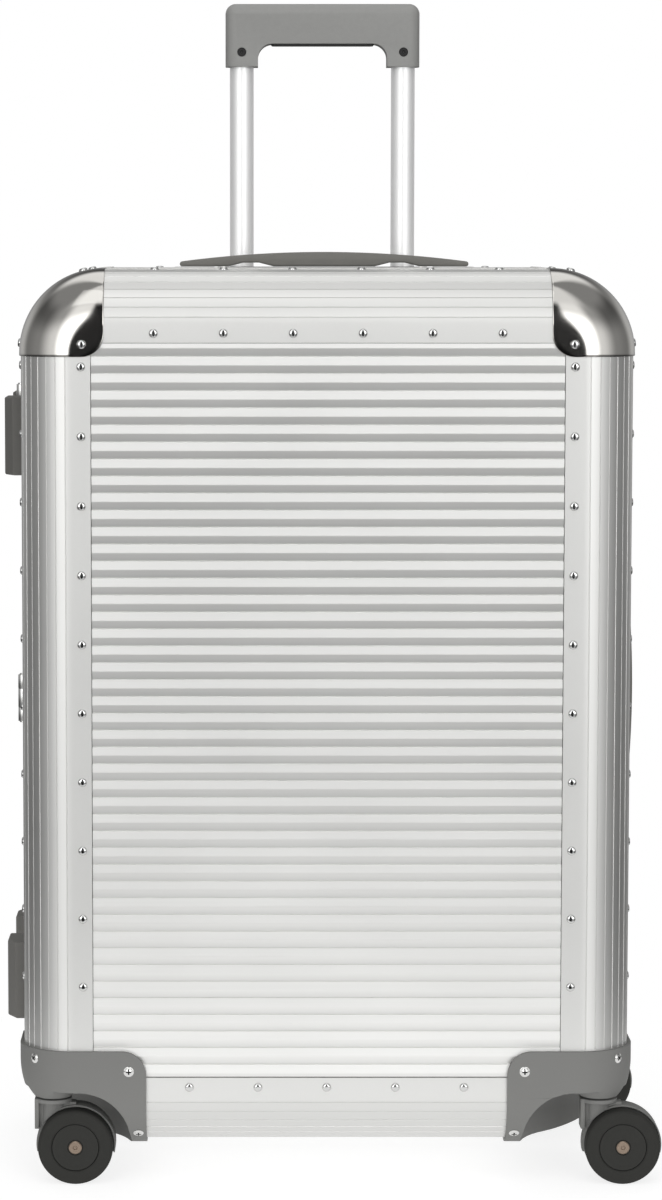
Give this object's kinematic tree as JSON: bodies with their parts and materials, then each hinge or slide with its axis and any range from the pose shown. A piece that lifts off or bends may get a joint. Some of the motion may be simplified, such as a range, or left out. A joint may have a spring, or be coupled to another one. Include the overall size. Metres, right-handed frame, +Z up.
{
  "type": "hard shell suitcase",
  "caption": "Riveted ribbed-metal clamshell suitcase with polished corner caps, swivel casters, strap handles and a telescopic pull handle.",
  "frame": {"origin": "on the floor, under the middle of the two closed shells", "axes": "+Z up; -Y out of the lid, the front shell; +X towards the side handle, away from the hinges"},
  "size_m": [0.4814, 0.2642, 0.868],
  "materials": {
    "ribbed_sheet": "satin anodised, ribbed",
    "edge_profile": "satin anodised, finely fluted",
    "frame_metal": "satin",
    "polished_steel": "polished",
    "rivet_chrome": "polished dome",
    "screw_steel": "bright",
    "moulded_grey": "moulded, fine texture",
    "bumper_rubber": "matte",
    "seal_rubber": "matte",
    "lining_cloth": "woven",
    "tube_metal": "bright anodised",
    "grip_plastic": "fine texture",
    "button_plastic": "satin",
    "strap_plastic": "soft",
    "hub_plastic": "satin",
    "tyre_rubber": "matte"
  },
  "bodies": {
    "base": {"base_panel": "ribbed_sheet", "base_band": "ribbed_sheet", "base_frame": "frame_metal", "base_profile_left": "edge_profile", "base_profile_right": "edge_profile", "base_profile_top": "edge_profile", "base_profile_bottom": "edge_profile", "base_cap_left": "polished_steel", "base_cap_right": "polished_steel", "base_housing_left": "moulded_grey", "base_housing_right": "moulded_grey", "base_lining": "lining_cloth", "base_feet": "bumper_rubber", "base_rivets": "rivet_chrome", "base_screws": "screw_steel", "base_seal": "seal_rubber", "handle_bezel": "polished_steel", "handle_outer_tubes": "tube_metal", "strap_anchors": "frame_metal", "hinge_base_leaves": "frame_metal", "hinge_pins": "screw_steel", "latch_plates": "polished_steel"},
    "lid": {"lid_panel": "ribbed_sheet", "lid_band": "ribbed_sheet", "lid_frame": "frame_metal", "lid_profile_left": "edge_profile", "lid_profile_right": "edge_profile", "lid_profile_top": "edge_profile", "lid_profile_bottom": "edge_profile", "lid_cap_left": "polished_steel", "lid_cap_right": "polished_steel", "lid_housing_left": "moulded_grey", "lid_housing_right": "moulded_grey", "lid_lining": "lining_cloth", "lid_feet": "bumper_rubber", "lid_rivets": "rivet_chrome", "lid_screws": "screw_steel", "hinge_lid_leaves": "frame_metal", "latch_keepers": "polished_steel"},
    "handle_lower_stage": {"handle_middle_tubes": "tube_metal"},
    "handle_upper_stage": {"handle_inner_tubes": "tube_metal", "handle_grip": "grip_plastic"},
    "release_button": {"handle_button": "button_plastic"},
    "top_strap": {"top_handle": "strap_plastic"},
    "side_strap": {"side_handle": "strap_plastic"},
    "upper_latch": {"latch_flap_upper": "polished_steel"},
    "lower_latch": {"latch_flap_lower": "polished_steel"},
    "caster_front_left": {"caster_front_left_fork": "moulded_grey"},
    "wheels_front_left": {"caster_front_left_hubs": "hub_plastic", "caster_front_left_tyres": "tyre_rubber"},
    "caster_front_right": {"caster_front_right_fork": "moulded_grey"},
    "wheels_front_right": {"caster_front_right_hubs": "hub_plastic", "caster_front_right_tyres": "tyre_rubber"},
    "caster_back_left": {"caster_back_left_fork": "moulded_grey"},
    "wheels_back_left": {"caster_back_left_hubs": "hub_plastic", "caster_back_left_tyres": "tyre_rubber"},
    "caster_back_right": {"caster_back_right_fork": "moulded_grey"},
    "wheels_back_right": {"caster_back_right_hubs": "hub_plastic", "caster_back_right_tyres": "tyre_rubber"}
  },
  "joints": [
    {"name": "lid_hinge", "type": "hinge", "parent": "base", "child": "lid", "pos_m": [-0.2272, 0, 0.347], "axis": [0, 0, -1], "range_deg": [0, 150]},
    {"name": "handle_lower_slide", "type": "slide", "parent": "base", "child": "handle_lower_stage", "axis": [0, 0, 1], "range_m": [0, 0.19]},
    {"name": "handle_upper_slide", "type": "slide", "parent": "handle_lower_stage", "child": "handle_upper_stage", "axis": [0, 0, 1], "range_m": [-0.15, 0]},
    {"name": "release_button_press", "type": "slide", "parent": "handle_upper_stage", "child": "release_button", "axis": [0, 0, 1], "range_m": [0, 0.004], "stiffness_N_per_m": 300, "springref_m": -0.002},
    {"name": "top_strap_lift", "type": "slide", "parent": "base", "child": "top_strap", "axis": [0, 0, 1], "range_m": [0, 0.008], "stiffness_N_per_m": 200, "springref_m": -0.002},
    {"name": "side_strap_lift", "type": "slide", "parent": "base", "child": "side_strap", "axis": [1, 0, 0], "range_m": [0, 0.008], "stiffness_N_per_m": 200, "springref_m": -0.002},
    {"name": "upper_latch_flip", "type": "hinge", "parent": "base", "child": "upper_latch", "pos_m": [0.2269, 0.036, 0.547], "axis": [0, 0, 1], "range_deg": [0, 150]},
    {"name": "lower_latch_flip", "type": "hinge", "parent": "base", "child": "lower_latch", "pos_m": [0.2269, 0.036, 0.147], "axis": [0, 0, 1], "range_deg": [0, 150]},
    {"name": "swivel_front_left", "type": "hinge", "parent": "lid", "child": "caster_front_left", "pos_m": [-0.2, -0.1065, 0.06], "axis": [0, 0, 1], "continuous": true},
    {"name": "wheel_spin_front_left", "type": "hinge", "parent": "caster_front_left", "child": "wheels_front_left", "pos_m": [-0.1834, -0.1065, 0.0275], "axis": [0, 1, 0], "continuous": true},
    {"name": "swivel_front_right", "type": "hinge", "parent": "lid", "child": "caster_front_right", "pos_m": [0.2, -0.1065, 0.06], "axis": [0, 0, 1], "continuous": true},
    {"name": "wheel_spin_front_right", "type": "hinge", "parent": "caster_front_right", "child": "wheels_front_right", "pos_m": [0.2166, -0.1065, 0.0275], "axis": [0, 1, 0], "continuous": true},
    {"name": "swivel_back_left", "type": "hinge", "parent": "base", "child": "caster_back_left", "pos_m": [-0.2, 0.1065, 0.06], "axis": [0, 0, 1], "continuous": true},
    {"name": "wheel_spin_back_left", "type": "hinge", "parent": "caster_back_left", "child": "wheels_back_left", "pos_m": [-0.1834, 0.1065, 0.0275], "axis": [0, 1, 0], "continuous": true},
    {"name": "swivel_back_right", "type": "hinge", "parent": "base", "child": "caster_back_right", "pos_m": [0.2, 0.1065, 0.06], "axis": [0, 0, 1], "continuous": true},
    {"name": "wheel_spin_back_right", "type": "hinge", "parent": "caster_back_right", "child": "wheels_back_right", "pos_m": [0.2166, 0.1065, 0.0275], "axis": [0, 1, 0], "continuous": true}
  ]
}
